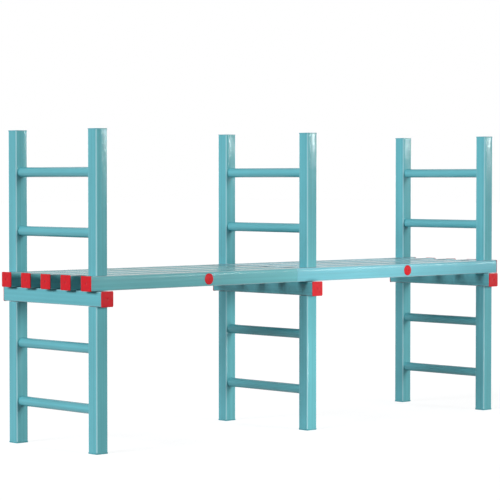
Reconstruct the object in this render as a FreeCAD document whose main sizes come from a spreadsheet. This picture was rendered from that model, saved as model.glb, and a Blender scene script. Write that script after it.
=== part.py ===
import FreeCAD, Part
import math
import os

import Sketcher

# A modular plastic rack bench: three ladder frames stand in a row, each with a square cross bearer
# on its head.  A shelf of five open planks, in two sections, lies on the bearers, and a second set of
# ladder frames stands on the shelf.  Hollow pins run from each lower post through bearer and plank
# into the upper post, so the whole rack lifts apart.
#
# Frame: +X along the shelf, +Y from the front to the back, +Z up.  The origin is on the floor, under
# the middle ladder frame.  All sizes are in millimetres.

SIZES = {
    # ladder frames
    "bay_length": 1015.0,         # from one frame to the next, centre to centre
    "frame_depth": 488.0,         # over the outsides of a frame's two posts
    "post_length": 497.0,
    "post_width": 52.0,           # along the shelf
    "post_depth": 48.0,           # across the shelf
    "post_wall": 3.5,
    "post_corner": 5.0,           # outside radius of the extrusion's corners
    "rung_diameter": 35.0,
    "rung_wall": 3.0,
    "rung_from_end": 145.0,       # from either end of a post to the nearer rung
    # cross bearers
    "bearer_height": 53.0,
    "bearer_wall": 3.5,
    "bearer_corner": 4.0,
    "bearer_overhang": 25.0,      # past the outside of the posts, front and back
    # shelf
    "planks_across": 5,
    "plank_width": 52.0,
    "plank_height": 52.0,
    "plank_wall": 3.0,
    "plank_corner": 3.5,
    "end_overhang": 24.0,         # past the outside of the end frames
    "joint_offset": 81.0,         # from the middle frame's centre to the joint of the two sections
    "joint_gap": 0.4,
    "rod_from_end": 540.0,        # from a section's free end to its cross rod
    "rod_diameter": 32.0,
    "rod_wall": 3.0,
    "spacer_wall": 4.0,
    "sleeve_length": 120.0,
    "sleeve_wall": 3.0,
    # stacking pins and their sockets
    "pin_diameter": 28.0,
    "pin_wall": 4.0,
    "pin_reach": 60.0,            # into each post
    "pin_lead": 2.0,              # chamfer of the pin's ends
    "pin_end_play": 2.0,
    "socket_floor": 6.0,
    "core_diameter": 6.5,         # moulding cores at a socket's corners, which keep its walls even
    "core_inset": 6.5,            # from the block's sides to a core's centre
    "dowel_diameter": 12.0,
    "dowel_reach": 14.0,          # above and below the face where plank and bearer meet
    "dowel_lead": 1.5,
    # push-in caps, plugs and feet
    "cap_flange": 3.0,
    "cap_margin": 0.5,            # how far a square cap stands proud of its tube all round
    "cap_bevel": 1.6,
    "cap_skirt": 24.0,
    "cap_skirt_wall": 2.5,
    "dimple_diameter": 8.0,
    "dimple_depth": 0.8,
    "rod_cap_diameter": 40.0,
    "rod_cap_edge": 2.0,          # thickness of the round cap at its rim
    "rod_cap_dome": 2.0,          # how much further its middle stands out
    "foot_flange": 5.0,
    "foot_bevel": 1.5,
    "top_flange": 3.0,
    "top_bevel": 1.5,
    # play on each side of a piece that is pushed into another
    "push_fit": 0.25,
}

FRAMES = ("left", "middle", "right")
POST_ROWS = ("front", "back")

document = FreeCAD.newDocument("rack_bench")
sheet = document.addObject("Spreadsheet::Sheet", "Sizes")
for line, (size_name, size) in enumerate(SIZES.items(), start=1):
    sheet.set(f"A{line}", size_name)
    sheet.set(f"B{line}", str(size))
    sheet.setAlias(f"B{line}", size_name)
document.recompute()

# Places that follow from the sizes, as expressions over the sheet.
POST_ROW = "(Sizes.frame_depth - Sizes.post_depth) / 2"
PLANK_PITCH = "(Sizes.frame_depth - Sizes.post_depth) / (Sizes.planks_across - 1)"
SHELF_DEPTH = "Sizes.frame_depth - Sizes.post_depth + Sizes.plank_width"
SHELF_END = "Sizes.bay_length + Sizes.post_width / 2 + Sizes.end_overhang"
LEG_BASE = "Sizes.foot_flange"
BEARER_BASE = f"{LEG_BASE} + Sizes.post_length"
BEARER_MIDDLE = f"{BEARER_BASE} + Sizes.bearer_height / 2"
SHELF_BASE = f"{BEARER_BASE} + Sizes.bearer_height"
SHELF_MIDDLE = f"{SHELF_BASE} + Sizes.plank_height / 2"
SHELF_TOP = f"{SHELF_BASE} + Sizes.plank_height"
UPPER_POST_TOP = f"{SHELF_TOP} + Sizes.post_length"

FRAME_X = {"left": "-Sizes.bay_length", "middle": "0", "right": "Sizes.bay_length"}
POST_Y = {"front": f"-({POST_ROW})", "back": POST_ROW}

# The left section rests on the left bearer and plugs into the right one, which reaches past the
# middle bearer.  Each section's start, end, bearers and cross rod, all measured along the shelf.
LEFT_START = f"-({SHELF_END})"
LEFT_END = "-Sizes.joint_offset - Sizes.joint_gap / 2"
RIGHT_START = "-Sizes.joint_offset + Sizes.joint_gap / 2"
SECTIONS = {
    "left": {
        "start": LEFT_START,
        "end": LEFT_END,
        "frames": ("left",),
        "rod": f"{LEFT_START} + Sizes.rod_from_end",
    },
    "right": {
        "start": RIGHT_START,
        "end": SHELF_END,
        "frames": ("middle", "right"),
        "rod": f"{SHELF_END} - Sizes.rod_from_end",
    },
}


def value(expression):
    """The number that an expression over the sheet gives now."""
    return float(sheet.evalExpression(expression))


# ---------------------------------------------------------------- bodies, sketches and features

def new_body(label, x="0", y="0", z="0", turn=None):
    """A body whose origin stands at x, y, z, turned about one axis where turn = (axis, degrees)."""
    body = document.addObject("PartDesign::Body", label)
    body.Label = label
    body.AllowCompound = True
    if turn:
        axis, degrees = turn
        rotation = FreeCAD.Rotation(FreeCAD.Vector(*axis), degrees)
        body.Placement = FreeCAD.Placement(FreeCAD.Vector(), rotation)
    body.setExpression("Placement.Base.x", x)
    body.setExpression("Placement.Base.y", y)
    body.setExpression("Placement.Base.z", z)
    return body


def origin_feature(body, role):
    """The body's own plane or axis with this role, such as XY_Plane or X_Axis."""
    return next(item for item in body.Origin.OriginFeatures if item.Role == role)


def new_sketch(body, name, plane, lift=None):
    """A sketch on one of the body's own planes, lifted along that plane's normal where given."""
    sketch = body.newObject("Sketcher::SketchObject", name)
    sketch.AttachmentSupport = (origin_feature(body, plane), "")
    sketch.MapMode = "FlatFace"
    if lift:
        sketch.setExpression("AttachmentOffset.Base.z", lift)
    return sketch


def constrain(sketch, name, expression, *reference):
    """A named dimension that follows an expression."""
    index = sketch.addConstraint(Sketcher.Constraint(*reference, value(expression)))
    sketch.renameConstraint(index, name)
    sketch.setExpression(f"Constraints.{name}", expression)


def draw_rounded_rectangle(sketch, name, width, height, radius):
    """A rectangle with round corners about the sketch's origin: four lines joined by four arcs."""
    half_width = value(width) / 2
    half_height = value(height) / 2
    corner = value(radius)
    first = sketch.GeometryCount
    ends = [
        (-half_width + corner, -half_height, half_width - corner, -half_height),
        (half_width, -half_height + corner, half_width, half_height - corner),
        (half_width - corner, half_height, -half_width + corner, half_height),
        (-half_width, half_height - corner, -half_width, -half_height + corner),
    ]
    for x1, y1, x2, y2 in ends:
        side = Part.LineSegment(FreeCAD.Vector(x1, y1, 0), FreeCAD.Vector(x2, y2, 0))
        sketch.addGeometry(side, False)
    for quarter, (x, y) in enumerate(((1, -1), (1, 1), (-1, 1), (-1, -1))):
        centre = FreeCAD.Vector(x * (half_width - corner), y * (half_height - corner), 0)
        circle = Part.Circle(centre, FreeCAD.Vector(0, 0, 1), corner)
        start = math.radians(90 * quarter - 90)
        sketch.addGeometry(Part.ArcOfCircle(circle, start, start + math.pi / 2), False)
    bottom, right, top, left, arc = first, first + 1, first + 2, first + 3, first + 4
    for side in range(4):
        following = first + (side + 1) % 4
        direction = "Horizontal" if side % 2 == 0 else "Vertical"
        sketch.addConstraint(Sketcher.Constraint("Tangent", first + side, 2, arc + side, 1))
        sketch.addConstraint(Sketcher.Constraint("Tangent", arc + side, 2, following, 1))
        sketch.addConstraint(Sketcher.Constraint(direction, first + side))
    for other in range(1, 4):
        sketch.addConstraint(Sketcher.Constraint("Equal", arc, arc + other))
    constrain(sketch, f"{name}_right", f"({width}) / 2", "DistanceX", -1, 1, right, 1)
    constrain(sketch, f"{name}_left", f"({width}) / 2", "DistanceX", left, 1, -1, 1)
    constrain(sketch, f"{name}_top", f"({height}) / 2", "DistanceY", -1, 1, top, 1)
    constrain(sketch, f"{name}_bottom", f"({height}) / 2", "DistanceY", bottom, 1, -1, 1)
    constrain(sketch, f"{name}_corner", radius, "Radius", arc)


def draw_tube_section(sketch, width, height, wall, corner):
    """The outside and the inside of a rectangular tube."""
    draw_rounded_rectangle(sketch, "outside", width, height, corner)
    inner_width = f"{width} - 2 * {wall}"
    inner_height = f"{height} - 2 * {wall}"
    draw_rounded_rectangle(sketch, "inside", inner_width, inner_height, f"{corner} - {wall}")


def place_point(sketch, name, x, y, *point):
    """Puts a sketch point at x, y, or on the sketch's own axis where one of them is None."""
    if x:
        constrain(sketch, f"{name}_x", x, "DistanceX", -1, 1, *point)
    else:
        sketch.addConstraint(Sketcher.Constraint("PointOnObject", *point, -2))
    if y:
        constrain(sketch, f"{name}_y", y, "DistanceY", -1, 1, *point)
    else:
        sketch.addConstraint(Sketcher.Constraint("PointOnObject", *point, -1))


def draw_circle(sketch, name, diameter, x=None, y=None):
    """A circle about x, y."""
    centre = FreeCAD.Vector(value(x or "0"), value(y or "0"), 0)
    circle = Part.Circle(centre, FreeCAD.Vector(0, 0, 1), value(diameter) / 2)
    index = sketch.addGeometry(circle, False)
    place_point(sketch, name, x, y, index, 3)
    constrain(sketch, f"{name}_diameter", diameter, "Diameter", index)


def draw_profile(sketch, corners):
    """A closed outline of straight sides through corners given as pairs of expressions."""
    first = sketch.GeometryCount
    places = [FreeCAD.Vector(value(x or "0"), value(y or "0"), 0) for x, y in corners]
    count = len(places)
    for number in range(count):
        side = Part.LineSegment(places[number], places[(number + 1) % count])
        sketch.addGeometry(side, False)
    for number, (x, y) in enumerate(corners):
        before = first + (number - 1) % count
        sketch.addConstraint(Sketcher.Constraint("Coincident", before, 2, first + number, 1))
        place_point(sketch, f"corner_{number}", x, y, first + number, 1)


def pad(body, name, sketch, length, sides="One side", backwards=False):
    """The sketch pulled out by length: along its normal, against it, or half to each side."""
    feature = body.newObject("PartDesign::Pad", name)
    feature.Profile = sketch
    feature.SideType = sides
    feature.Reversed = backwards
    feature.setExpression("Length", length)
    return feature


def cut_through(body, name, sketch, sides="One side", backwards=False):
    """A pocket through all that lies on one side of the sketch, or on both."""
    feature = body.newObject("PartDesign::Pocket", name)
    feature.Profile = sketch
    feature.SideType = sides
    feature.Type = "ThroughAll"
    feature.Reversed = backwards
    return feature


def cut_to_depth(body, name, sketch, depth):
    """A pocket of a set depth, against the sketch's normal."""
    feature = body.newObject("PartDesign::Pocket", name)
    feature.Profile = sketch
    feature.setExpression("Length", depth)
    return feature


def revolve(body, name, sketch, axis):
    """The sketch turned once round one of the body's own axes."""
    feature = body.newObject("PartDesign::Revolution", name)
    feature.Profile = sketch
    feature.ReferenceAxis = (origin_feature(body, axis), [""])
    feature.Angle = 360
    return feature


def rim_edges(shape, direction):
    """Names of the outer edges of the flat face that lies furthest in a direction."""
    faces = []
    for face in shape.Faces:
        if isinstance(face.Surface, Part.Plane) and face.normalAt(0, 0).dot(direction) > 0.999:
            faces.append(face)
    furthest = max(faces, key=lambda face: face.CenterOfMass.dot(direction))
    rim = furthest.OuterWire.Edges
    names = []
    for number, edge in enumerate(shape.Edges, start=1):
        if any(edge.isSame(other) for other in rim):
            names.append(f"Edge{number}")
    return names


def bevel_rim(body, name, feature, direction, size):
    """A chamfer round the outer edge of the feature's furthest face in a direction."""
    document.recompute()
    chamfer = body.newObject("PartDesign::Chamfer", name)
    chamfer.Base = (feature, rim_edges(feature.Shape, FreeCAD.Vector(*direction)))
    chamfer.setExpression("Size", size)
    return chamfer


def repeat(body, name, axis, span, count, cross_axis=None, cross_span="0", cross_count="1"):
    """The whole piece repeated along one axis of the body, or along two."""
    document.recompute()
    pattern = body.newObject("PartDesign::LinearPattern", name)
    pattern.TransformMode = "Whole shape"
    pattern.Direction = (origin_feature(body, axis), [""])
    pattern.setExpression("Length", span)
    pattern.setExpression("Occurrences", count)
    if cross_axis:
        pattern.Direction2 = (origin_feature(body, cross_axis), [""])
        pattern.setExpression("Length2", cross_span)
        pattern.setExpression("Occurrences2", cross_count)
    body.Tip = pattern
    return pattern


# ---------------------------------------------------------------- ladder frames

def make_post(label, frame, row, base):
    """A hollow extruded post, upright, with a bore for each rung in the wall that faces inwards."""
    body = new_body(label, FRAME_X[frame], POST_Y[row], base)
    section = new_sketch(body, "section", "XY_Plane")
    draw_tube_section(section, "Sizes.post_width", "Sizes.post_depth", "Sizes.post_wall", "Sizes.post_corner")
    pad(body, "extrusion", section, "Sizes.post_length")
    bores = new_sketch(body, "rung_bores", "XZ_Plane")
    bore = "Sizes.rung_diameter + 2 * Sizes.push_fit"
    draw_circle(bores, "low", bore, y="Sizes.rung_from_end")
    draw_circle(bores, "high", bore, y="Sizes.post_length - Sizes.rung_from_end")
    cut_through(body, "bored_wall", bores, backwards=(row == "back"))


def make_rung(label, frame, height):
    """A round tube that passes the posts' inner walls and butts on their outer ones."""
    body = new_body(label, FRAME_X[frame], "0", height)
    section = new_sketch(body, "section", "XZ_Plane")
    draw_circle(section, "outside", "Sizes.rung_diameter")
    draw_circle(section, "inside", "Sizes.rung_diameter - 2 * Sizes.rung_wall")
    pad(body, "extrusion", section, "Sizes.frame_depth - 2 * Sizes.post_wall", sides="Symmetric")


def make_ladder(frame, level, base):
    """Two posts and two rungs; level is lower or upper."""
    for row in POST_ROWS:
        make_post(f"{frame}_{level}_{row}_post", frame, row, base)
    make_rung(f"{frame}_{level}_bottom_rung", frame, f"{base} + Sizes.rung_from_end")
    make_rung(f"{frame}_{level}_top_rung", frame, f"{base} + Sizes.post_length - Sizes.rung_from_end")


def make_bearer(frame):
    """The square tube across the head of a lower frame, bored for two pins and for the dowels."""
    body = new_body(f"{frame}_bearer", FRAME_X[frame], "0", BEARER_MIDDLE)
    section = new_sketch(body, "section", "XZ_Plane")
    draw_tube_section(
        section, "Sizes.post_width", "Sizes.bearer_height", "Sizes.bearer_wall", "Sizes.bearer_corner")
    pad(body, "extrusion", section, "Sizes.frame_depth + 2 * Sizes.bearer_overhang", sides="Symmetric")
    pins = new_sketch(body, "pin_bores", "XY_Plane")
    draw_circle(pins, "front", "Sizes.pin_diameter + 2 * Sizes.push_fit", y=POST_Y["front"])
    draw_circle(pins, "back", "Sizes.pin_diameter + 2 * Sizes.push_fit", y=POST_Y["back"])
    cut_through(body, "pin_bored", pins, sides="Symmetric")
    dowel = new_sketch(body, "dowel_bore", "XY_Plane")
    draw_circle(
        dowel, "front", "Sizes.dowel_diameter + 2 * Sizes.push_fit", y=f"{PLANK_PITCH} - {POST_ROW}")
    dowel_bored = cut_through(body, "dowel_bored", dowel, backwards=True)
    row = body.newObject("PartDesign::LinearPattern", "dowel_row")
    row.Originals = [dowel_bored]
    row.Direction = (origin_feature(body, "Y_Axis"), [""])
    row.setExpression("Length", f"{PLANK_PITCH} * (Sizes.planks_across - 3)")
    row.setExpression("Occurrences", "Sizes.planks_across - 2")
    body.Tip = row


# ---------------------------------------------------------------- shelf

def make_plank(section_name, number):
    """A hollow plank; number 0 is the front one.  Outer planks take pins, inner ones dowels."""
    section = SECTIONS[section_name]
    start = section["start"]
    last = int(value("Sizes.planks_across")) - 1
    label = f"{section_name}_plank_{number + 1}"
    body = new_body(label, start, f"{number} * {PLANK_PITCH} - {POST_ROW}", SHELF_MIDDLE)
    outline = new_sketch(body, "section", "YZ_Plane")
    draw_tube_section(
        outline, "Sizes.plank_width", "Sizes.plank_height", "Sizes.plank_wall", "Sizes.plank_corner")
    pad(body, "extrusion", outline, f"({section['end']}) - ({start})")
    rod = new_sketch(body, "rod_bore", "XZ_Plane")
    draw_circle(rod, "rod", "Sizes.rod_diameter + 2 * Sizes.push_fit", x=f"({section['rod']}) - ({start})")
    cut_through(body, "rod_bored", rod, sides="Symmetric")
    seats = new_sketch(body, "seat_bores", "XY_Plane")
    outer = number in (0, last)
    bore = "Sizes.pin_diameter" if outer else "Sizes.dowel_diameter"
    for frame in section["frames"]:
        place = f"{FRAME_X[frame]} - ({start})"
        draw_circle(seats, frame, f"{bore} + 2 * Sizes.push_fit", x=place)
    cut_through(body, "seat_bored", seats, sides="Symmetric" if outer else "One side")


def make_cross_rod(section_name):
    """The tube that threads a section's planks together, flush with the shelf's two edges."""
    body = new_body(f"{section_name}_cross_rod", SECTIONS[section_name]["rod"], "0", SHELF_MIDDLE)
    section = new_sketch(body, "section", "XZ_Plane")
    draw_circle(section, "outside", "Sizes.rod_diameter")
    draw_circle(section, "inside", "Sizes.rod_diameter - 2 * Sizes.rod_wall")
    pad(body, "extrusion", section, SHELF_DEPTH, sides="Symmetric")


def make_rod_spacers(section_name):
    """Short tubes on the cross rod that hold the planks apart, one in each gap."""
    first_gap = f"{PLANK_PITCH} / 2 - {POST_ROW}"
    body = new_body(f"{section_name}_rod_spacers", SECTIONS[section_name]["rod"], first_gap, SHELF_MIDDLE)
    section = new_sketch(body, "section", "XZ_Plane")
    bore = "Sizes.rod_diameter + 2 * Sizes.push_fit"
    draw_circle(section, "outside", f"{bore} + 2 * Sizes.spacer_wall")
    draw_circle(section, "inside", bore)
    pad(body, "extrusion", section, f"{PLANK_PITCH} - Sizes.plank_width", sides="Symmetric")
    span = f"{PLANK_PITCH} * (Sizes.planks_across - 2)"
    repeat(body, "gaps", "Y_Axis", span, "Sizes.planks_across - 1")


def make_rod_caps(section_name):
    """Round caps in both ends of the cross rod: a domed face with a dimple and a hollow plug."""
    body = new_body(f"{section_name}_rod_caps", SECTIONS[section_name]["rod"], "0", SHELF_MIDDLE)
    outline = new_sketch(body, "half_section", "XY_Plane")
    seat = f"({SHELF_DEPTH}) / 2"
    rim = f"{seat} + Sizes.rod_cap_edge"
    crown = f"{rim} + Sizes.rod_cap_dome"
    plug_radius = "Sizes.rod_diameter / 2 - Sizes.rod_wall - Sizes.push_fit"
    hollow_radius = f"{plug_radius} - Sizes.cap_skirt_wall"
    plug_end = f"{seat} - Sizes.cap_skirt"
    cap_radius = "Sizes.rod_cap_diameter / 2"
    draw_profile(outline, [
        (None, f"{crown} - Sizes.dimple_depth"),
        (None, seat),
        (hollow_radius, seat),
        (hollow_radius, plug_end),
        (plug_radius, plug_end),
        (plug_radius, seat),
        (cap_radius, seat),
        (cap_radius, rim),
        (f"{cap_radius} - Sizes.rod_cap_dome", f"{rim} + Sizes.rod_cap_dome * 0.7"),
        (f"{cap_radius} * 0.6", crown),
        ("Sizes.dimple_diameter / 2", crown),
        ("Sizes.dimple_diameter / 3", f"{crown} - Sizes.dimple_depth"),
    ])
    revolve(body, "turned_cap", outline, "Y_Axis")
    both = body.newObject("PartDesign::Mirrored", "front_and_back")
    both.TransformMode = "Whole shape"
    both.MirrorPlane = (origin_feature(body, "XZ_Plane"), [""])
    body.Tip = both


def make_joint_sleeves():
    """Rectangular sleeves inside the planks that carry the left section's end in the right one."""
    start = "-Sizes.joint_offset - Sizes.sleeve_length / 2"
    body = new_body("joint_sleeves", start, f"-({POST_ROW})", SHELF_MIDDLE)
    section = new_sketch(body, "section", "YZ_Plane")
    shrink = "2 * Sizes.plank_wall - 2 * Sizes.push_fit"
    draw_tube_section(
        section, f"Sizes.plank_width - {shrink}", f"Sizes.plank_height - {shrink}",
        "Sizes.sleeve_wall", "(Sizes.sleeve_wall + 1)")
    pad(body, "extrusion", section, "Sizes.sleeve_length")
    repeat(body, "planks", "Y_Axis", f"{PLANK_PITCH} * (Sizes.planks_across - 1)", "Sizes.planks_across")


# ---------------------------------------------------------------- pins, sockets and dowels

def repeat_on_posts(body, name):
    """The piece repeated on every post, from the left frame's post in the first row."""
    repeat(
        body, name, "X_Axis", "2 * Sizes.bay_length", str(len(FRAMES)),
        "Y_Axis", f"2 * ({POST_ROW})", str(len(POST_ROWS)))


def make_stacking_pins():
    """Hollow pins that stand in the lower posts and reach through bearer and plank."""
    base = f"{BEARER_BASE} - Sizes.pin_reach"
    body = new_body("stacking_pins", FRAME_X["left"], POST_Y["front"], base)
    section = new_sketch(body, "section", "XY_Plane")
    draw_circle(section, "outside", "Sizes.pin_diameter")
    draw_circle(section, "inside", "Sizes.pin_diameter - 2 * Sizes.pin_wall")
    stack = "Sizes.bearer_height + Sizes.plank_height"
    tube = pad(body, "tube", section, f"{stack} + 2 * Sizes.pin_reach - Sizes.pin_end_play")
    led = bevel_rim(body, "upper_lead", tube, (0, 0, 1), "Sizes.pin_lead")
    bevel_rim(body, "lower_lead", led, (0, 0, -1), "Sizes.pin_lead")
    repeat_on_posts(body, "posts")


def make_post_sockets(label, mouth, turn=None):
    """Moulded blocks inside the posts' ends with a blind bore for the pin, flush at the mouth."""
    body = new_body(label, FRAME_X["left"], POST_Y["front"] if not turn else POST_Y["back"], mouth, turn)
    outline = new_sketch(body, "outline", "XY_Plane")
    shrink = "2 * Sizes.post_wall - 2 * Sizes.push_fit"
    draw_rounded_rectangle(
        outline, "block", f"Sizes.post_width - {shrink}", f"Sizes.post_depth - {shrink}",
        "Sizes.post_corner - Sizes.post_wall + 1")
    pad(body, "block", outline, "Sizes.pin_reach + Sizes.socket_floor", backwards=True)
    bore = new_sketch(body, "bore", "XY_Plane")
    draw_circle(bore, "pin", "Sizes.pin_diameter + 2 * Sizes.push_fit")
    cut_to_depth(body, "blind_bore", bore, "Sizes.pin_reach")
    cores = new_sketch(body, "cores", "XY_Plane")
    core_x = f"(Sizes.post_width - {shrink}) / 2 - Sizes.core_inset"
    core_y = f"(Sizes.post_depth - {shrink}) / 2 - Sizes.core_inset"
    for side, x in (("right", core_x), ("left", f"-({core_x})")):
        draw_circle(cores, f"{side}_back", "Sizes.core_diameter", x, core_y)
        draw_circle(cores, f"{side}_front", "Sizes.core_diameter", x, f"-({core_y})")
    cut_to_depth(body, "cored_corners", cores, "Sizes.pin_reach")
    repeat_on_posts(body, "posts")


def make_plank_dowels():
    """Short pegs that keep the inner planks in place on the bearers."""
    first = f"{PLANK_PITCH} - {POST_ROW}"
    body = new_body("plank_dowels", FRAME_X["left"], first, f"{SHELF_BASE} - Sizes.dowel_reach")
    section = new_sketch(body, "section", "XY_Plane")
    draw_circle(section, "outside", "Sizes.dowel_diameter")
    peg = pad(body, "peg", section, "2 * Sizes.dowel_reach")
    led = bevel_rim(body, "upper_lead", peg, (0, 0, 1), "Sizes.dowel_lead")
    bevel_rim(body, "lower_lead", led, (0, 0, -1), "Sizes.dowel_lead")
    repeat(
        body, "bearers", "X_Axis", "2 * Sizes.bay_length", str(len(FRAMES)),
        "Y_Axis", f"{PLANK_PITCH} * (Sizes.planks_across - 3)", "Sizes.planks_across - 2")


# ---------------------------------------------------------------- push-in caps, plugs and feet

def make_plug(body, width, height, tube_wall, tube_corner, margin, flange, bevel, dimple):
    """A push-in plug: a bevelled flange outside the tube and a hollow skirt inside it.

    The flange stands on the body's XY plane and faces +Z; the skirt hangs below it.
    """
    face = new_sketch(body, "flange_outline", "XY_Plane")
    draw_rounded_rectangle(
        face, "flange", f"{width} + 2 * {margin}", f"{height} + 2 * {margin}", f"{tube_corner} + {margin}")
    plate = pad(body, "flange", face, flange)
    bevel_rim(body, "bevel", plate, (0, 0, 1), bevel)
    skirt = new_sketch(body, "skirt_outline", "XY_Plane")
    shrink = f"2 * {tube_wall} - 2 * Sizes.push_fit"
    draw_tube_section(
        skirt, f"{width} - {shrink}", f"{height} - {shrink}", "Sizes.cap_skirt_wall",
        "(Sizes.cap_skirt_wall + 1)")
    pad(body, "skirt", skirt, "Sizes.cap_skirt", backwards=True)
    if dimple:
        mark = new_sketch(body, "dimple_outline", "XY_Plane", lift=flange)
        draw_circle(mark, "dimple", "Sizes.dimple_diameter")
        cut_to_depth(body, "dimple", mark, "Sizes.dimple_depth")


def make_plank_caps(section_name):
    """Square caps in the free ends of a section's planks."""
    leftwards = section_name == "left"
    end = LEFT_START if leftwards else SHELF_END
    turn = ((0, 1, 0), -90 if leftwards else 90)
    body = new_body(f"{section_name}_plank_caps", end, f"-({POST_ROW})", SHELF_MIDDLE, turn)
    make_plug(
        body, "Sizes.plank_height", "Sizes.plank_width", "Sizes.plank_wall", "Sizes.plank_corner",
        "Sizes.cap_margin", "Sizes.cap_flange", "Sizes.cap_bevel", dimple=True)
    repeat(body, "planks", "Y_Axis", f"{PLANK_PITCH} * (Sizes.planks_across - 1)", "Sizes.planks_across")


def make_bearer_caps(row):
    """Square caps in the front or back ends of the three bearers."""
    end = "Sizes.frame_depth / 2 + Sizes.bearer_overhang"
    frontwards = row == "front"
    turn = ((1, 0, 0), 90 if frontwards else -90)
    body = new_body(
        f"{row}_bearer_caps", FRAME_X["left"], f"-({end})" if frontwards else end, BEARER_MIDDLE, turn)
    make_plug(
        body, "Sizes.post_width", "Sizes.bearer_height", "Sizes.bearer_wall", "Sizes.bearer_corner",
        "Sizes.cap_margin", "Sizes.cap_flange", "Sizes.cap_bevel", dimple=True)
    repeat(body, "frames", "X_Axis", "2 * Sizes.bay_length", str(len(FRAMES)))


def make_feet():
    """Foot plugs under the lower posts."""
    body = new_body("feet", FRAME_X["left"], POST_Y["back"], LEG_BASE, ((1, 0, 0), 180))
    make_plug(
        body, "Sizes.post_width", "Sizes.post_depth", "Sizes.post_wall", "Sizes.post_corner",
        "0", "Sizes.foot_flange", "Sizes.foot_bevel", dimple=False)
    repeat_on_posts(body, "posts")


def make_top_plugs():
    """Plugs that close the upper posts' heads."""
    body = new_body("post_top_plugs", FRAME_X["left"], POST_Y["front"], UPPER_POST_TOP)
    make_plug(
        body, "Sizes.post_width", "Sizes.post_depth", "Sizes.post_wall", "Sizes.post_corner",
        "0", "Sizes.top_flange", "Sizes.top_bevel", dimple=False)
    repeat_on_posts(body, "posts")


# ---------------------------------------------------------------- the assembly

for frame_name in FRAMES:
    make_ladder(frame_name, "lower", LEG_BASE)
    make_bearer(frame_name)
    make_ladder(frame_name, "upper", SHELF_TOP)

for section_name in SECTIONS:
    for plank_number in range(int(value("Sizes.planks_across"))):
        make_plank(section_name, plank_number)
    make_cross_rod(section_name)
    make_rod_spacers(section_name)
    make_rod_caps(section_name)
    make_plank_caps(section_name)

make_joint_sleeves()
make_stacking_pins()
make_post_sockets("lower_post_sockets", BEARER_BASE)
make_post_sockets("upper_post_sockets", SHELF_TOP, ((1, 0, 0), 180))
make_plank_dowels()
for row_name in POST_ROWS:
    make_bearer_caps(row_name)
make_feet()
make_top_plugs()
document.recompute()


# ---------------------------------------------------------------- checks and files

def check_document():
    """Stops on a failed object, a sketch left loose, or a cut that removes nothing."""
    for item in document.Objects:
        if "Invalid" in item.State or "Error" in item.State:
            raise RuntimeError(f"{item.Label} failed: {item.State}")
        if item.TypeId == "Sketcher::SketchObject" and not item.FullyConstrained:
            raise RuntimeError(f"{item.Label} is not fully constrained")
        if item.TypeId in ("PartDesign::Pocket", "PartDesign::Chamfer"):
            if item.Shape.Volume >= item.BaseFeature.Shape.Volume:
                raise RuntimeError(f"{item.Label} cuts nothing")


def write_parts():
    """One STEP file for each body, named after it."""
    os.makedirs("parts", exist_ok=True)
    for body in document.findObjects("PartDesign::Body"):
        if body.Shape.isNull() or not body.Shape.isValid():
            raise RuntimeError(f"{body.Label} has no valid shape")
        body.Shape.exportStep(os.path.join("parts", f"{body.Label}.step"))


check_document()
write_parts()
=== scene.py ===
import math

import bpy
import numpy as np
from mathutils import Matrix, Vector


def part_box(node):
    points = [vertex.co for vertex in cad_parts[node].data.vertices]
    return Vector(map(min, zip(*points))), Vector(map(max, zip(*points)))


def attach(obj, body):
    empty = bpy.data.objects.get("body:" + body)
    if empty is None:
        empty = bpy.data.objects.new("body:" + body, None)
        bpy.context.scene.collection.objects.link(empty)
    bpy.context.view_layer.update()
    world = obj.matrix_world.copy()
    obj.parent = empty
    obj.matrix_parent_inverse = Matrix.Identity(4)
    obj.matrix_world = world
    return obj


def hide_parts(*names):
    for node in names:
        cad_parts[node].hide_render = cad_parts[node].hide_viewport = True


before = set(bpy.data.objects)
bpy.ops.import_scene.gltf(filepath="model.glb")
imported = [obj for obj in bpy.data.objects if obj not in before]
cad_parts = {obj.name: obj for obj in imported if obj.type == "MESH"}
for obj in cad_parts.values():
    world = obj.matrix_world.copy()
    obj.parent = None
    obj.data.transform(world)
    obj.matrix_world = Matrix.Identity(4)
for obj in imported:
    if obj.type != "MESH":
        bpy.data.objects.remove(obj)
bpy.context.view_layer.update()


# ---------------------------------------------------------------- posts of the lower ladder frames
# Each leg is a hollow rectangular extrusion of turquoise polypropylene, sawn square at both ends.
# The wall that faces the other leg is bored for two rungs.  The sides are slightly crowned, with three
# faint ridges, and the die leaves bands and fine lines along them.

FRAMES = ("left", "middle", "right")
POST_ROWS = ("front", "back")
RUNG_PLACES = ("bottom", "top")
POST_WALL = 0.0035
POST_CORNER = 0.005
RUNG_PLAY = 0.00025
SAWN_EDGE = 0.0005
SIDE_CROWN = 0.0008
RIDGE_SHARE = 0.08
CORNER_SINK = 0.6
SIDE_PLACES = np.linspace(-1, 1, 25)
CORNER_STEPS = 6
STATION_DIGITS = 7
STATION_PLAY = 1e-6
SHARP_ANGLE = 32
COPY_SHIFT = (5.3, 2.9, 1.1)

FRAME_COLOUR = (0.120, 0.425, 0.470)
SPECULAR_LEVEL = 0.2
NOISE_MIDDLE = (0.3, 0.7)
LINE_HEIGHT = 0.00001
BAND_HEIGHT = 0.0001
GLOSS_DRIFT = 0.03
FLAT_NORMAL = 0.98
CORNER_NORMAL = 0.85


def box_of(node):
    """Lowest and highest corner of a node as arrays."""
    low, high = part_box(node)
    return np.array(low), np.array(high)


def end_of(node, axis, sign):
    """Middle of a node's end face, on its low side for the sign -1 and on its high side for 1."""
    low, high = box_of(node)
    middle = (low + high) / 2
    middle[axis] = high[axis] if sign > 0 else low[axis]
    return middle


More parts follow.
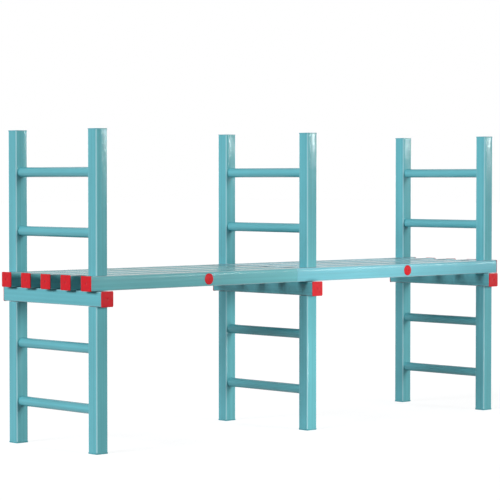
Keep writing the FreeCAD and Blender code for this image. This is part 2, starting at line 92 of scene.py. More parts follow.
def side_dip(share):
    """How far a side has sunk from its middle to its corners, as a share of the crown.

    It is the fourth power of the way out, mixed with the ridges: half of one minus the cosine of one
    and a half turns, with its crests at the middle and at two thirds of the way to either corner.
    """
    ridges = (1 - np.cos(3 * np.pi * share)) / 2
    return (1 - RIDGE_SHARE) * share**4 + RIDGE_SHARE * ridges


def section_template(places, steps):
    """Points round a rectangle with round corners, counterclockwise, as shares, normals and dips.

    A point is the corner of the flat core times its share, plus the corner radius times its normal.
    On side k the normal is at k quarter turns and the share runs along the side through places.  On
    the corner after it the share stays, the normal turns by a quarter in equal steps, and the dip is
    one plus the corner's sink times the sine of twice the turn.
    """
    side = np.arange(4)[:, None]
    along = np.r_[places, np.ones(steps - 1)]
    turn = np.r_[np.zeros(len(places)), np.arange(1, steps) / steps]
    facing = side * np.pi / 2
    share = np.stack([np.cos(facing) - along * np.sin(facing), np.sin(facing) + along * np.cos(facing)], -1)
    angle = (side + turn) * np.pi / 2
    normal = np.stack([np.cos(angle), np.sin(angle)], -1)
    corner_dip = 1 + CORNER_SINK * np.sin(turn[len(places):] * np.pi)
    dip = np.tile(np.r_[side_dip(places), corner_dip], 4)
    return share.reshape(-1, 2), normal.reshape(-1, 2), dip


def section_rings(template, half_u, half_v, radius, height, drop=0.0):
    """One ring of section points for each row of half sizes, corner radius and height.

    The drop times the dip is taken off along the normal.
    """
    share, normal, dip = template
    core = np.stack([half_u - radius, half_v - radius], -1)[:, None]
    flat = share * core + (radius[:, None, None] - drop * dip[:, None]) * normal
    level = np.broadcast_to(height[:, None, None], flat.shape[:2] + (1,))
    return np.concatenate([flat, level], -1)


def wall_loop(stations, length, wall):
    """Inset and height round a tube's wall: up the outside, over the end, down the inside, under."""
    ends = [SAWN_EDGE, wall - SAWN_EDGE]
    inset = np.r_[0 * stations, ends, 0 * stations + wall, ends[::-1]]
    height = np.r_[stations, length, length, stations[::-1], 0, 0]
    return inset, height


def ring_quads(rings, count):
    """Quads between each ring of a grid and the next, closed both ways round."""
    ids = np.arange(rings * count).reshape(rings, count)
    across = np.roll(ids, -1, 1)
    return np.stack([ids, across, np.roll(across, -1, 0), np.roll(ids, -1, 0)], -1)


def window_border(steps):
    """Row and column of the points round a square window of so many steps, one edge after another."""
    run = np.arange(steps)
    return np.concatenate([
        np.stack([0 * run, run], -1),
        np.stack([run, 0 * run + steps], -1),
        np.stack([0 * run + steps, steps - run], -1),
        np.stack([steps - run, 0 * run], -1)])


def bored_extrusion(size, wall, corner, bores):
    """Points and quads of a hollow extrusion that stands on the origin along the third axis.

    Bores are rows of side, place along and radius.  Round each bore a square window is left out of
    the outer and the inner skin.  Rays from the bore's centre carry the window's edge points onto
    the bore's circle, and the two circles are joined through the wall.
    """
    half_u, half_v, length = size[0] / 2, size[1] / 2, size[2]
    reaches = np.array([half_u, half_v, half_u, half_v])
    flats = np.roll(reaches, 1) - corner
    cuts = [place + SIDE_PLACES * flats[side] for side, place, radius in bores]
    ends = [SAWN_EDGE, length - SAWN_EDGE]
    stations = np.unique(np.round(np.concatenate([ends] + cuts), STATION_DIGITS))
    inset, height = wall_loop(stations, length, wall)
    template = section_template(SIDE_PLACES, CORNER_STEPS)
    grid = section_rings(template, half_u - inset, half_v - inset, corner - inset, height, SIDE_CROWN)
    rings, count = grid.shape[:2]
    quads = ring_quads(rings, count)
    ids = quads[..., 0]
    keep = np.ones((rings, count), bool)
    steps = len(SIDE_PLACES) - 1
    border = window_border(steps)
    ray = SIDE_PLACES[border[:, ::-1]]
    circle = ray / np.linalg.norm(ray, axis=1)[:, None]
    ahead = np.roll(np.arange(len(border)), -1)
    points = [grid.reshape(-1, 3)]
    faces = []
    start = rings * count
    for side, place, radius in bores:
        first = np.searchsorted(stations, place - flats[side] - STATION_PLAY)
        inner_first = 2 * len(stations) + 1 - first
        column = side * (steps + CORNER_STEPS)
        keep[first:first + steps, column:column + steps] = False
        keep[inner_first - steps:inner_first, column:column + steps] = False
        outer_edge = ids[first + border[:, 0], column + border[:, 1]]
        inner_edge = ids[inner_first - border[:, 0], column + border[:, 1]]
        facing = np.array([math.cos(side * math.pi / 2), math.sin(side * math.pi / 2)])
        beside = np.array([-facing[1], facing[0]])
        depth = reaches[side] - SIDE_CROWN * side_dip(circle[:, 0] * radius / flats[side])
        for thickness in (0, wall):
            flat = (depth - thickness)[:, None] * facing + radius * circle[:, :1] * beside
            points.append(np.column_stack([flat, place + radius * circle[:, 1]]))
        outer = start + np.arange(len(border))
        inner = outer + len(border)
        start += 2 * len(border)
        faces.append(np.stack([outer_edge, outer_edge[ahead], outer[ahead], outer], -1))
        faces.append(np.stack([inner_edge[ahead], inner_edge, inner, inner[ahead]], -1))
        faces.append(np.stack([outer, outer[ahead], inner[ahead], inner], -1))
    used, faces = np.unique(np.concatenate([quads[keep]] + faces), return_inverse=True)
    return np.concatenate(points)[used], faces.reshape(-1, 4)


def put_piece(name, shape, axis, feet, finish, node, signs=1):
    """A mesh piece for a node: the shape stood along a world axis, or against it, on each foot.

    The shape's own places are kept as the attribute section, moved on along the third axis by an
    amount that differs from foot to foot, so that no two copies are marked alike.
    """
    points, faces = shape
    feet = np.atleast_2d(feet)
    facing = np.ones((len(feet), 1, 3))
    facing[:, 0, 1:] = np.reshape(signs, (-1, 1))
    vertices = np.roll(points * facing, axis + 1, -1) + feet[:, None]
    section = points + (feet @ COPY_SHIFT)[:, None, None] * [0, 0, 1]
    shift = np.arange(len(feet))[:, None, None] * len(points)
    faces = np.where(faces < 0, -1, faces + shift).reshape(-1, 4)
    mesh = bpy.data.meshes.new(name)
    mesh.from_pydata(vertices.reshape(-1, 3), [], [face[face >= 0].tolist() for face in faces])
    mesh.shade_smooth()
    mesh.set_sharp_from_angle(angle=math.radians(SHARP_ANGLE))
    mesh.attributes.new("section", "FLOAT_VECTOR", "POINT").data.foreach_set("vector", section.ravel())
    mesh.materials.append(finish)
    piece = bpy.data.objects.new(name, mesh)
    bpy.context.scene.collection.objects.link(piece)
    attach(piece, "root")
    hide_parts(node)


def new_finish(name):
    """A plastic with its shader and node tree, and the places that its pieces keep as section."""
    finish = bpy.data.materials.new(name)
    finish.use_nodes = True
    tree = finish.node_tree
    shader = tree.nodes["Principled BSDF"]
    shader.inputs["Specular IOR Level"].default_value = SPECULAR_LEVEL
    places = tree.nodes.new("ShaderNodeAttribute")
    places.attribute_name = "section"
    return finish, shader, tree, places.outputs["Vector"]


def noise(tree, places, scale, detail):
    """Noise with so many marks to the unit of the places."""
    marks = tree.nodes.new("ShaderNodeTexNoise")
    marks.inputs["Scale"].default_value = scale
    marks.inputs["Detail"].default_value = detail
    tree.links.new(places, marks.inputs["Vector"])
    return marks.outputs["Fac"]


def carried(tree, source, span, low, high):
    """The source carried from the two ends of its span to low and high, and held there beyond them."""
    carrier = tree.nodes.new("ShaderNodeMapRange")
    carrier.inputs["From Min"].default_value = span[0]
    carrier.inputs["From Max"].default_value = span[1]
    carrier.inputs["To Min"].default_value = low
    carrier.inputs["To Max"].default_value = high
    tree.links.new(source, carrier.inputs["Value"])
    return carrier.outputs["Result"]


def joined(tree, operation, first, second):
    """Two numbers put together by an operation."""
    pair = tree.nodes.new("ShaderNodeMath")
    pair.operation = operation
    tree.links.new(first, pair.inputs[0])
    tree.links.new(second, pair.inputs[1])
    return pair.outputs["Value"]


def toned(tree, colour, tone):
    """The colour times a tone."""
    shade = tree.nodes.new("ShaderNodeMix")
    shade.data_type = "RGBA"
    shade.blend_type = "MULTIPLY"
    shade.inputs["Factor"].default_value = 1.0
    shade.inputs["A"].default_value = (*colour, 1)
    tree.links.new(tone, shade.inputs["B"])
    return shade.outputs["Result"]


def raised(tree, source, height, under=None):
    """The normal of the source raised to a height, over the normal under it."""
    bump = tree.nodes.new("ShaderNodeBump")
    bump.inputs["Strength"].default_value = 1.0
    bump.inputs["Distance"].default_value = height
    tree.links.new(source, bump.inputs["Height"])
    if under:
        tree.links.new(under, bump.inputs["Normal"])
    return bump.outputs["Normal"]


def extruded_plastic(name, colour, roughness, corner_highlight):
    """Satin extruded polypropylene: the die's bands and lines, slow colour drift and a painted highlight on
    the corners.

    Each kind of mark is noise drawn out along the extrusion.  A corner is where no part of the normal comes
    near one, and there the colour is painted paler, as a painted highlight.
    """
    finish, shader, tree, places = new_finish(name)

    def drawn(across, along, detail):
        """Noise with so many marks to the metre across the extrusion and along it."""
        mapping = tree.nodes.new("ShaderNodeMapping")
        mapping.inputs["Scale"].default_value = (across, across, along)
        tree.links.new(places, mapping.inputs["Vector"])
        return noise(tree, mapping.outputs["Vector"], 1.0, detail)

    lines = drawn(across=900, along=6, detail=2)
    bands = drawn(across=130, along=1.2, detail=1)
    cloud = drawn(across=9, along=5, detail=3)
    band_tone = carried(tree, bands, NOISE_MIDDLE, low=0.93, high=1.07)
    cloud_tone = carried(tree, cloud, NOISE_MIDDLE, low=0.97, high=1.03)
    shade = toned(tree, colour, joined(tree, "MULTIPLY", band_tone, cloud_tone))
    apart = tree.nodes.new("ShaderNodeVectorMath")
    apart.operation = "ABSOLUTE"
    tree.links.new(tree.nodes.new("ShaderNodeNewGeometry").outputs["Normal"], apart.inputs[0])
    parts = tree.nodes.new("ShaderNodeSeparateXYZ")
    tree.links.new(apart.outputs["Vector"], parts.inputs["Vector"])
    largest = joined(tree, "MAXIMUM", parts.outputs["X"], parts.outputs["Y"])
    largest = joined(tree, "MAXIMUM", largest, parts.outputs["Z"])
    # Painted highlight: the corners' colour is mixed towards white where the normal leans off the axes.
    highlighted = tree.nodes.new("ShaderNodeMix")
    highlighted.data_type = "RGBA"
    highlighted.inputs["B"].default_value = (1, 1, 1, 1)
    painted_highlight_mask = carried(tree, largest, (FLAT_NORMAL, CORNER_NORMAL), low=0.0, high=corner_highlight)
    tree.links.new(painted_highlight_mask, highlighted.inputs["Factor"])
    tree.links.new(shade, highlighted.inputs["A"])
    tree.links.new(highlighted.outputs["Result"], shader.inputs["Base Color"])
    gloss = carried(tree, bands, NOISE_MIDDLE, roughness + GLOSS_DRIFT, roughness - GLOSS_DRIFT)
    tree.links.new(gloss, shader.inputs["Roughness"])
    relief = raised(tree, lines, LINE_HEIGHT, under=raised(tree, bands, BAND_HEIGHT))
    tree.links.new(relief, shader.inputs["Normal"])
    return finish


# The frames' and planks' corners carry a painted highlight, a fifth of the way to white.
frame_plastic = extruded_plastic("frame_plastic", FRAME_COLOUR, roughness=0.095, corner_highlight=0.20)


def make_post(node, row):
    """A post bored in its inner wall at the height of each rung of its own frame."""
    low, high = box_of(node)
    inner_side = 1 if row == "front" else 3
    bores = []
    for place in RUNG_PLACES:
        rung_low, rung_high = box_of(node.replace(f"{row}_post", f"{place}_rung"))
        radius = (rung_high[2] - rung_low[2]) / 2 + RUNG_PLAY
        bores.append((inner_side, (rung_low[2] + rung_high[2]) / 2 - low[2], radius))
    post = bored_extrusion(high - low, POST_WALL, POST_CORNER, bores)
    put_piece(f"{node}.extrusion", post, 2, end_of(node, 2, -1), frame_plastic, node)


for name in FRAMES:
    for row in POST_ROWS:
        make_post(f"{name}_lower_{row}_post", row)


# ---------------------------------------------------------------- rungs of the lower ladder frames
# Round tubes of the same plastic, pushed through the posts' inner walls until they butt on the outer
# ones, and welded there.

RUNG_WALL = 0.003


def circle_rings(radius, height, count, start=0.0):
    """Rings of equal steps round the third axis, one for each radius and height."""
    turn = (start + np.arange(count)) / count * 2 * np.pi
    flat = radius[:, None, None] * np.stack([np.cos(turn), np.sin(turn)], -1)
    return np.concatenate([flat, np.broadcast_to(height[:, None, None], flat.shape[:2] + (1,))], -1)


def round_tube(radius, length, wall, count=64):
    """A round tube that stands on the origin: circles carried once round the loop of its wall."""
    inset, height = wall_loop(np.array([SAWN_EDGE, length / 2, length - SAWN_EDGE]), length, wall)
    rings = circle_rings(radius - inset, height, count)
    return rings.reshape(-1, 3), ring_quads(len(inset), count).reshape(-1, 4)


rung_plastic = extruded_plastic("rung_plastic", FRAME_COLOUR, roughness=0.12, corner_highlight=0.0)


def make_rung(node):
    """A rung fills its node's box."""
    low, high = box_of(node)
    rung = round_tube((high - low)[0] / 2, (high - low)[1], RUNG_WALL)
    put_piece(f"{node}.tube", rung, 1, end_of(node, 1, -1), rung_plastic, node)


for name in FRAMES:
    for place in RUNG_PLACES:
        make_rung(f"{name}_lower_{place}_rung")


# ---------------------------------------------------------------- foot plugs
# Moulded plugs in the same turquoise, pushed into the legs' lower ends: a bevelled sole outside and a
# hollow skirt inside the tube.

SKIRT_LENGTH = 0.024
SKIRT_WALL = 0.0025
SKIRT_CORNER = 0.0035
SKIRT_LIP = 0.0006
PLUG_PLAY = 0.00025
PLUG_PLACES = np.linspace(-1, 1, 9)
PLUG_CORNER_STEPS = 6
FOOT_FLANGE = 0.005
FOOT_BEVEL = 0.0015
SOLE_CROWN = 0.0002
BEVEL_STEPS = 5
BEVEL_INSET = np.array([1, 1, 0.6])
FACE_SHARES = np.array([0.35, 0.55, 0.75, 0.9])
BOWL_SHARES = np.array([0.3, 0.55, 0.75, 0.9, 1.0])
SQUARE_SHARES = np.array([0.25, 0.6, 0.9])
CORE_SHARE = 0.4

PLUG_COLOUR = (0.080, 0.355, 0.400)
FLOW_DRIFT = 0.05
GRAIN_HEIGHT = 0.00002
MIDDLE_DARK_REACH = (0.003, 0.005)


def moulded_plastic(name, colour, roughness, middle_tone=1.0):
    """An injection-moulded plastic: fine grain, slow flow marks and a darker tone over the middle of its
    face.

    The tone follows the way from the middle of the moulding's face: the middle tone's share of the colour
    within three millimetres, and the whole of it from five.
    """
    finish, shader, tree, places = new_finish(name)
    flow = noise(tree, places, scale=70, detail=3)
    flatten = tree.nodes.new("ShaderNodeVectorMath")
    flatten.operation = "MULTIPLY"
    flatten.inputs[1].default_value = (1, 1, 0)
    tree.links.new(places, flatten.inputs[0])
    reach = tree.nodes.new("ShaderNodeVectorMath")
    reach.operation = "LENGTH"
    tree.links.new(flatten.outputs["Vector"], reach.inputs[0])
    flow_tone = carried(tree, flow, NOISE_MIDDLE, low=0.92, high=1.08)
    # The colour is darker over the dimple in the middle of the face, by the middle tone.
    middle_darkening = carried(tree, reach.outputs["Value"], MIDDLE_DARK_REACH, low=middle_tone, high=1.0)
    shade = toned(tree, colour, joined(tree, "MULTIPLY", flow_tone, middle_darkening))
    tree.links.new(shade, shader.inputs["Base Color"])
    gloss = carried(tree, flow, NOISE_MIDDLE, roughness - FLOW_DRIFT, roughness + FLOW_DRIFT)
    tree.links.new(gloss, shader.inputs["Roughness"])
    grain = noise(tree, places, scale=1600, detail=2)
    tree.links.new(raised(tree, grain, GRAIN_HEIGHT), shader.inputs["Normal"])
    return finish


def closed_shell(rings, outer_pole, inner_pole):
    """A closed shape of rings that run from the pole above the face round to the one in the hollow.

    Round each pole stands a fan of triangles, rows with minus one in the place of a fourth corner.
    """
    depth, count = rings.shape[:2]
    quads = ring_quads(depth, count)
    first, last = quads[0, :, :2], quads[-1, :, :2]
    pole = np.full(count, depth * count)
    none = np.full(count, -1)
    fans = [
        np.column_stack([first, pole, none]),
        np.column_stack([last[:, ::-1], pole + 1, none])]
    poles = [[0, 0, outer_pole], [0, 0, inner_pole]]
    points = np.concatenate([rings.reshape(-1, 3), poles])
    return points, np.concatenate([quads[:-1, :, ::-1].reshape(-1, 4)] + fans)


def dimpled(rings, level, radius, depth):
    """The rings of a face with a bowl in its middle, whose depth falls with the square of the way out.

    The face's three rings next to it are mixed with circles that touch them from inside, each with
    its own share of the square outline.
    """
    count = rings.shape[1]
    start = -(len(PLUG_PLACES) // 2)
    next_to = rings[:len(SQUARE_SHARES)]
    square = SQUARE_SHARES[:, None, None]
    touching = np.linalg.norm(next_to[..., :2], axis=-1).min(axis=1)
    turned = square * next_to + (1 - square) * circle_rings(touching, next_to[:, 0, 2], count, start)
    bowl = circle_rings(radius * BOWL_SHARES, level - depth * (1 - BOWL_SHARES**2), count, start)
    return np.concatenate([bowl, turned, rings[len(SQUARE_SHARES):]])


def push_in_plug(half_u, half_v, corner, wall, flange, bevel, crown, margin=0.0, dimple=None):
    """A plug for the end of a tube, its flange's back on the level 0 and its face upwards.

    Rings run from the middle of the face out over the bevel, back under the flange, down the skirt,
    round its lip and up to the middle of the flange's back.  On the face a ring is the rim scaled by
    its share and lifted by the crown times one minus the share squared.  The bevel is a quarter of an
    ellipse, and the corner's radius shrinks by less than the sides do.
    """
    rim = np.array([half_u, half_v, corner]) + margin
    skirt = np.array([half_u - wall - PLUG_PLAY, half_v - wall - PLUG_PLAY, SKIRT_CORNER])
    inset = bevel * BEVEL_INSET
    level = flange - crown
    turn = np.linspace(0, np.pi / 2, BEVEL_STEPS)
    face = np.column_stack([np.outer(FACE_SHARES, rim - inset), level + crown * (1 - FACE_SHARES**2)])
    edge = np.column_stack([rim - np.outer(1 - np.sin(turn), inset), level - bevel * (1 - np.cos(turn))])
    behind = [
        [*rim, 0],
        [*skirt, 0],
        [*skirt, SKIRT_LIP - SKIRT_LENGTH],
        [*skirt - SKIRT_LIP, -SKIRT_LENGTH],
        [*skirt - SKIRT_WALL, -SKIRT_LENGTH],
        [*skirt - SKIRT_WALL, 0],
        [*CORE_SHARE * skirt, 0]]
    rows = np.concatenate([face, edge, behind])
    rings = section_rings(section_template(PLUG_PLACES, PLUG_CORNER_STEPS), *rows.T)
    if not dimple:
        return closed_shell(rings, flange, 0)
    return closed_shell(dimpled(rings, flange, *dimple), flange - dimple[1], 0)


plug_plastic = moulded_plastic("plug_plastic", PLUG_COLOUR, roughness=0.45)
legs = [f"{name}_lower_{row}_post" for name in FRAMES for row in POST_ROWS]
low, high = box_of(legs[0])
sole = push_in_plug(*(high - low)[:2] / 2, POST_CORNER, POST_WALL, FOOT_FLANGE, FOOT_BEVEL, SOLE_CROWN)
feet = [end_of(leg, 2, -1) for leg in legs]
put_piece("feet.mouldings", sole, 2, feet, plug_plastic, "feet", signs=-1)


# ---------------------------------------------------------------- sockets, pins and dowels
# Inside the posts' ends sit cored sockets of natural nylon.  Hollow pins stand in them and carry
# bearer, planks and upper posts in line, short dowels hold the inner planks on the bearers, and
# sleeves join the two plank sections.

NYLON_COLOUR = (0.50, 0.49, 0.44)

nylon = moulded_plastic("natural_nylon", NYLON_COLOUR, roughness=0.5)
for node in ("lower_post_sockets", "upper_post_sockets", "stacking_pins", "plank_dowels", "joint_sleeves"):
    for material_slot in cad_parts[node].material_slots:
        material_slot.material = nylon


# ---------------------------------------------------------------- bearers
# A square extrusion lies across the head of each lower frame and stands out a little beyond both
# legs.  It is bored through for the two pins, and on top for the three dowels.

BEARER_WALL = 0.0035
BEARER_CORNER = 0.004
PIN_BORE = 0.01425
DOWEL_BORE = 0.00625
INNER_PLANKS = (2, 3, 4)


def make_bearer(name):
    """Bores on the upper side (0) and the lower side (2), at the places of pins and planks."""
    node = f"{name}_bearer"
    low, high = box_of(node)
    pins = [end_of(f"{name}_lower_{row}_post", 2, 1)[1] - low[1] for row in POST_ROWS]
    dowels = [end_of(f"left_plank_{number}", 2, -1)[1] - low[1] for number in INNER_PLANKS]
    bores = [(side, place, PIN_BORE) for side in (0, 2) for place in pins]
    bores += [(0, place, DOWEL_BORE) for place in dowels]
    bearer = bored_extrusion((high - low)[[2, 0, 1]], BEARER_WALL, BEARER_CORNER, bores)
    put_piece(f"{node}.extrusion", bearer, 1, end_of(node, 1, -1), frame_plastic, node)


for name in FRAMES:
    make_bearer(name)


# ---------------------------------------------------------------- red end caps of the bearers
# Square push-in caps moulded in red: a bevelled, slightly crowned face with the dimple of the gate in
# its middle, standing proud of the tube all round.

CAP_MARGIN = 0.0005
CAP_FLANGE = 0.003
CAP_BEVEL = 0.0016
CAP_CROWN = 0.0003
GATE_DIMPLE = (0.004, 0.0008)

RED = (0.590, 0.006, 0.014)
red_plastic = moulded_plastic("red_plastic", RED, roughness=0.36, middle_tone=0.82)


def red_cap(half_u, half_v, corner, wall):
    """The cap for a tube of these half sizes, corner radius and wall."""
    return push_in_plug(
        half_u, half_v, corner, wall, CAP_FLANGE, CAP_BEVEL, CAP_CROWN, CAP_MARGIN, GATE_DIMPLE)


low, high = box_of("left_bearer")
cap = red_cap(*(high - low)[[2, 0]] / 2, BEARER_CORNER, BEARER_WALL)
for row, sign in zip(POST_ROWS, (-1, 1)):
    node = f"{row}_bearer_caps"
    ends = [end_of(f"{name}_bearer", 1, sign) for name in FRAMES]
    put_piece(f"{node}.mouldings", cap, 1, ends, red_plastic, node, signs=sign)


# ---------------------------------------------------------------- shelf planks
# Ten hollow planks, five to a section, lie along the rack with a slot between them.  Their sides are
# bored for the cross rod, the outer ones are bored through for the pins and the inner ones only
# underneath, for the dowels.  The right section's planks are painted paler, as painted light.

PLANK_WALL = 0.003
PLANK_CORNER = 0.0035
ROD_BORE = 0.01625
PLANK_NUMBERS = (1, 2, 3, 4, 5)
SECTION_FRAMES = {"left": ("left",), "right": ("middle", "right")}

# Painted light: the right section's colour is paler, standing in for brighter light on that section.
PLANK_COLOURS = {"left": (0.142, 0.448, 0.482), "right": (0.170, 0.508, 0.590)}


def make_plank(section, number, finish):
    """Sides 0 and 2 face across the shelf, side 1 is the top and side 3 the underside."""
    node = f"{section}_plank_{number}"
    low, high = box_of(node)
    rod = end_of(f"{section}_cross_rod", 1, 1)[0] - low[0]
    bores = [(0, rod, ROD_BORE), (2, rod, ROD_BORE)]
    for name in SECTION_FRAMES[section]:
        seat = end_of(f"{name}_bearer", 1, 1)[0] - low[0]
        if number in INNER_PLANKS:
            bores.append((3, seat, DOWEL_BORE))
        else:
            bores += [(1, seat, PIN_BORE), (3, seat, PIN_BORE)]
    plank = bored_extrusion((high - low)[[1, 2, 0]], PLANK_WALL, PLANK_CORNER, bores)
    put_piece(f"{node}.extrusion", plank, 0, end_of(node, 0, -1), finish, node)


for section, colour in PLANK_COLOURS.items():
    plank_plastic = extruded_plastic(f"{section}_plank_plastic", colour, roughness=0.135, corner_highlight=0.20)
    for number in PLANK_NUMBERS:
        make_plank(section, number, plank_plastic)


# ---------------------------------------------------------------- cross rods and spacers
# One tube threads the five planks of a section together, and a short, thicker tube on it in each slot
# holds them apart.

ROD_WALL = 0.003
SPACER_WALL = 0.004


def make_rod(section):
    """The rod fills its node's box, and the spacers stand from one plank's side to the next one's."""
    node = f"{section}_cross_rod"
    low, high = box_of(node)
    rod = round_tube((high - low)[0] / 2, (high - low)[1], ROD_WALL)
    put_piece(f"{node}.tube", rod, 1, end_of(node, 1, -1), rung_plastic, node)
    node = f"{section}_rod_spacers"
    low, high = box_of(node)
    sides = [box_of(f"{section}_plank_{number}") for number in PLANK_NUMBERS]
    spacer = round_tube((high - low)[0] / 2, sides[1][0][1] - sides[0][1][1], SPACER_WALL)
    feet = [[(low + high)[0] / 2, side[1][1], (low + high)[2] / 2] for side in sides[:-1]]
    put_piece(f"{node}.tubes", spacer, 1, feet, rung_plastic, node)


for section in SECTION_FRAMES:
    make_rod(section)


# ---------------------------------------------------------------- round red caps on the rods' ends
# A domed button with the same gate dimple, and a hollow plug that grips inside the rod.

BUTTON_RADIUS = 0.020
BUTTON_EDGE = 0.002
BUTTON_DOME = 0.002
BUTTON_BEVEL = 0.0014
BUTTON_BEVEL_STEPS = 6
DOME_SHARES = np.linspace(0.22, 1, 9)
BUTTON_CORE_SHARE = 0.5


def round_cap(rod_radius, count=72):
    """A button turned round the third axis, its back on the level 0.

    From the rim inwards its face rises by the dome times one minus the square of the share, the rim's
    bevel is a quarter of a circle, and the dimple is the square caps' bowl.
    """
    radius, depth = GATE_DIMPLE
    top = BUTTON_EDGE + BUTTON_DOME
    face = BUTTON_RADIUS - BUTTON_BEVEL
    turn = np.linspace(0, np.pi / 2, BUTTON_BEVEL_STEPS)[1:]
    skirt = rod_radius - ROD_WALL - PLUG_PLAY
    sunk = depth * (1 - BOWL_SHARES**2) + BUTTON_DOME * (radius / face) ** 2
    beside = BUTTON_BEVEL * np.sin(turn)
    below = BUTTON_BEVEL * (1 - np.cos(turn))
    outline = np.concatenate([
        np.column_stack([radius * BOWL_SHARES, top - sunk]),
        np.column_stack([face * DOME_SHARES, top - BUTTON_DOME * DOME_SHARES**2]),
        np.column_stack([face + beside, BUTTON_EDGE - below]),
        [
            [BUTTON_RADIUS, 0],
            [skirt, 0],
            [skirt, SKIRT_LIP - SKIRT_LENGTH],
            [skirt - SKIRT_LIP, -SKIRT_LENGTH],
            [skirt - SKIRT_WALL, -SKIRT_LENGTH],
            [skirt - SKIRT_WALL, 0],
            [BUTTON_CORE_SHARE * skirt, 0]]])
    return closed_shell(circle_rings(*outline.T, count), outline[0, 1], 0)


low, high = box_of("left_cross_rod")
button = round_cap((high - low)[0] / 2)
for section in SECTION_FRAMES:
    node = f"{section}_rod_caps"
    ends = [end_of(f"{section}_cross_rod", 1, sign) for sign in (-1, 1)]
    put_piece(f"{node}.mouldings", button, 1, ends, red_plastic, node, signs=(-1, 1))


# ---------------------------------------------------------------- red end caps of the planks
# The bearers' cap in the planks' size, in the free end of every plank.

low, high = box_of("left_plank_1")
cap = red_cap(*(high - low)[1:] / 2, PLANK_CORNER, PLANK_WALL)
for section, sign in (("left", -1), ("right", 1)):
    node = f"{section}_plank_caps"
    ends = [end_of(f"{section}_plank_{number}", 0, sign) for number in PLANK_NUMBERS]
    put_piece(f"{node}.mouldings", cap, 0, ends, red_plastic, node, signs=sign)


# ---------------------------------------------------------------- upper ladder frames
# The same ladder frames again, standing on the shelf over the lower ones, with flat plugs in the
# posts' heads.

HEAD_FLANGE = 0.003

for name in FRAMES:
    for row in POST_ROWS:
        make_post(f"{name}_upper_{row}_post", row)
    for place in RUNG_PLACES:
        make_rung(f"{name}_upper_{place}_rung")

posts = [f"{name}_upper_{row}_post" for name in FRAMES for row in POST_ROWS]
low, high = box_of(posts[0])
plug = push_in_plug(*(high - low)[:2] / 2, POST_CORNER, POST_WALL, HEAD_FLANGE, FOOT_BEVEL, SOLE_CROWN)
heads = [end_of(post, 2, 1) for post in posts]
put_piece("post_top_plugs.mouldings", plug, 2, heads, plug_plastic, "post_top_plugs")


# ---------------------------------------------------------------- studio
# A pale floor that runs on into a white backdrop, and a long lens a little above the shelf. A row of
# three soft lamps lights the left, one the front, and faint ones the right and the back. Three narrow
# ones, low in front, draw the bright line on the posts, and a small box fills in under the shelf.

WHITE = (1.0, 1.0, 1.0)
COOL_WHITE = (0.98, 1.0, 1.05)
WARM_WHITE = (1.04, 1.0, 0.98)
ROOM_LIGHT = 0.06
FLOOR_REACH = 60
FLOOR_GREY = 0.3
FLOOR_GLOW = 0.87
LOW_LAMP_TILT = 96
LOOK_DOWN = 1.8785
LOOK_TURN = -43.8260


def background_ray(tree):
    """One for rays from the camera, off gloss and through clear plastic; nought for the others."""
    path = tree.nodes.new("ShaderNodeLightPath")
    either = joined(tree, "MAXIMUM", path.outputs["Is Camera Ray"], path.outputs["Is Glossy Ray"])
    return joined(tree, "MAXIMUM", either, path.outputs["Is Transmission Ray"])


scene = bpy.context.scene
world = bpy.data.worlds.new("white_room")
scene.world = world
world.use_nodes = True
tree = world.node_tree
lit = tree.nodes["Background"]
lit.inputs["Color"].default_value = (*WHITE, 1)
lit.inputs["Strength"].default_value = ROOM_LIGHT
white = tree.nodes.new("ShaderNodeBackground")
white.inputs["Color"].default_value = (*WHITE, 1)
white.inputs["Strength"].default_value = 1.0
choice = tree.nodes.new("ShaderNodeMixShader")
tree.links.new(background_ray(tree), choice.inputs["Fac"])
tree.links.new(lit.outputs["Background"], choice.inputs[1])
tree.links.new(white.outputs["Background"], choice.inputs[2])
tree.links.new(choice.outputs["Shader"], tree.nodes["World Output"].inputs["Surface"])

floor_paint = bpy.data.materials.new("pale_floor")
floor_paint.use_nodes = True
tree = floor_paint.node_tree
matt = tree.nodes["Principled BSDF"]
matt.inputs["Base Color"].default_value = (FLOOR_GREY, FLOOR_GREY, FLOOR_GREY, 1)
matt.inputs["Roughness"].default_value = 0.9
matt.inputs["Specular IOR Level"].default_value = 0.0
glow = tree.nodes.new("ShaderNodeEmission")
glow.inputs["Strength"].default_value = FLOOR_GLOW
dark = tree.nodes.new("ShaderNodeEmission")
dark.inputs["Strength"].default_value = 0.0
seen = tree.nodes.new("ShaderNodeMixShader")
both = tree.nodes.new("ShaderNodeAddShader")
tree.links.new(background_ray(tree), seen.inputs["Fac"])
tree.links.new(dark.outputs["Emission"], seen.inputs[1])
tree.links.new(glow.outputs["Emission"], seen.inputs[2])
tree.links.new(matt.outputs["BSDF"], both.inputs[0])
tree.links.new(seen.outputs["Shader"], both.inputs[1])
tree.links.new(both.outputs["Shader"], tree.nodes["Material Output"].inputs["Surface"])

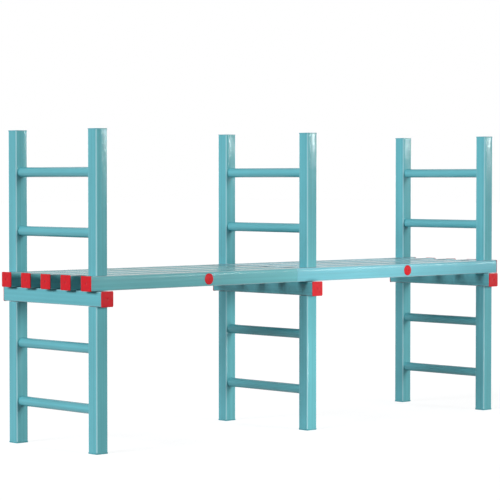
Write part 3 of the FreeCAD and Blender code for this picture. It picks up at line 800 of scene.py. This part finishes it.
mesh = bpy.data.meshes.new("floor")
corners = FLOOR_REACH * np.array([[-1, -1, 0], [1, -1, 0], [1, 1, 0], [-1, 1, 0]])
mesh.from_pydata(corners, [], [[0, 1, 2, 3]])
mesh.materials.append(floor_paint)
floor = bpy.data.objects.new("floor", mesh)
scene.collection.objects.link(floor)


def far_lamp(name, azimuth, elevation, strength, spread, tint=WHITE):
    """A far lamp: azimuth from the left end towards the front, elevation and spread in degrees.

    A white surface that faces it squarely shows its strength.
    """
    lamp = bpy.data.lights.new(name, "SUN")
    lamp.energy = strength * math.pi
    lamp.angle = math.radians(spread)
    lamp.color = tint
    holder = bpy.data.objects.new(name, lamp)
    holder.rotation_euler = (math.radians(90 - elevation), 0, math.radians(azimuth - 90))
    scene.collection.objects.link(holder)


for azimuth, strength in (-12, 0.31), (0, 0.42), (12, 0.24):
    far_lamp(f"left_lamp_{azimuth}", azimuth, elevation=18, strength=strength, spread=14, tint=COOL_WHITE)
far_lamp("front_lamp", azimuth=101, elevation=11.5, strength=0.56, spread=14, tint=WARM_WHITE)
far_lamp("right_lamp", azimuth=185, elevation=9, strength=0.28, spread=30)
far_lamp("back_lamp", azimuth=255, elevation=9, strength=0.22, spread=30)
for azimuth in (132, 136.5, 141):
    far_lamp(f"narrow_lamp_{azimuth}", azimuth, elevation=1.5, strength=0.017, spread=1.2)

low_lamp = bpy.data.lights.new("low_lamp", "AREA")
low_lamp.shape = "RECTANGLE"
low_lamp.size = 0.8
low_lamp.size_y = 0.2
low_lamp.spread = math.radians(75)
low_lamp.energy = 1.75
holder = bpy.data.objects.new("low_lamp", low_lamp)
holder.location = (0.3, -1.35, 0.15)
holder.rotation_euler = (math.radians(LOW_LAMP_TILT), 0, 0)
holder.visible_camera = False
scene.collection.objects.link(holder)

lens = bpy.data.cameras.new("camera")
lens.sensor_width = 36
lens.lens = 154.03
lens.clip_end = 200
camera = bpy.data.objects.new("camera", lens)
camera.location = (-5.6673, -5.8136, 0.9322)
camera.rotation_euler = (math.radians(90 - LOOK_DOWN), 0, math.radians(LOOK_TURN))
scene.collection.objects.link(camera)
scene.camera = camera
scene.view_settings.view_transform = "Standard"
